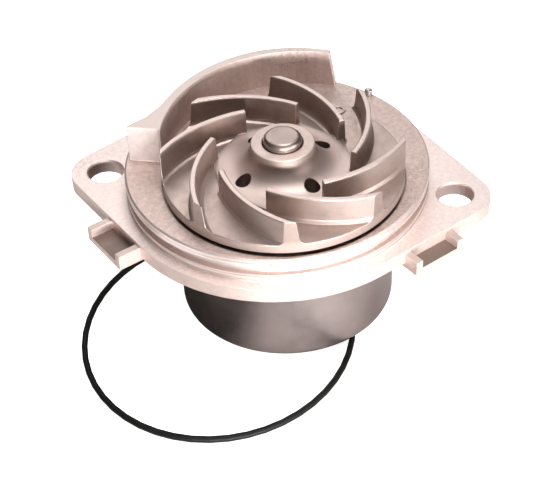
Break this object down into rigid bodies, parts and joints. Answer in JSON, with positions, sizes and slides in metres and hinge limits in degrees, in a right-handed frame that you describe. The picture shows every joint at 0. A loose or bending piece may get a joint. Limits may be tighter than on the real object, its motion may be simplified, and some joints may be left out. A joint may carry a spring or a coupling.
{
  "type": "engine coolant pump",
  "caption": "Engine coolant pump with an eared aluminium housing, part volute wall, open bladed impeller, smooth belt pulley, sealed shaft bearing and a loose sealing ring.",
  "frame": {"origin": "centre of the spigot in the plane of the flange's mounting face (the ear tops)", "axes": "+Z along the spigot axis from the mounting face towards the impeller, +X from the spigot centre to the right-hand ear hole, +Y to the volute wall side"},
  "size_m": [0.1292, 0.1253, 0.0599],
  "materials": {
    "cast aluminium": "as-cast satin with machined faces",
    "pin steel": "ground steel",
    "bearing steel": "ground and polished",
    "seal rubber": "matt moulded rubber",
    "seal steel": "drawn stainless sheet",
    "spring steel": "drawn wire",
    "carbon": "lapped carbon graphite",
    "ring rubber": "satin moulded rubber",
    "shaft steel": "ground steel, turned end",
    "impeller casting": "fine cast surface, satin",
    "pulley steel": "smooth turned steel",
    "seal ceramic": "lapped ceramic",
    "cage polymer": "moulded polyamide"
  },
  "bodies": {
    "housing_body": {"housing": "cast aluminium", "locating_pin": "pin steel", "bearing_outer_ring": "bearing steel", "bearing_seal_upper": "seal rubber", "bearing_seal_lower": "seal rubber", "seal_case": "seal steel", "seal_bellows": "seal rubber", "seal_spring": "spring steel", "seal_retainer": "seal steel", "carbon_ring": "carbon", "o_ring": "ring rubber"},
    "rotor": {"pump_shaft": "shaft steel", "impeller": "impeller casting", "pulley": "pulley steel", "mating_ring": "seal ceramic", "seat_boot": "seal rubber", "slinger": "seal rubber"},
    "cage_set_upper": {"balls_upper": "bearing steel", "cage_upper": "cage polymer"},
    "cage_set_lower": {"balls_lower": "bearing steel", "cage_lower": "cage polymer"}
  },
  "joints": [
    {"name": "rotor_spin", "type": "hinge", "parent": "housing_body", "child": "rotor", "pos_m": [0.0033, -0.0076, 0], "axis": [0, 0, 1], "continuous": true},
    {"name": "cage_spin_upper", "type": "hinge", "parent": "housing_body", "child": "cage_set_upper", "pos_m": [0.0033, -0.0076, -0.0142], "axis": [0, 0, 1], "continuous": true},
    {"name": "cage_spin_lower", "type": "hinge", "parent": "housing_body", "child": "cage_set_lower", "pos_m": [0.0033, -0.0076, -0.0232], "axis": [0, 0, 1], "continuous": true}
  ],
  "couplings": [
    {"joint": "cage_spin_upper", "follows": "rotor_spin", "ratio": 0.381},
    {"joint": "cage_spin_lower", "follows": "rotor_spin", "ratio": 0.381}
  ]
}
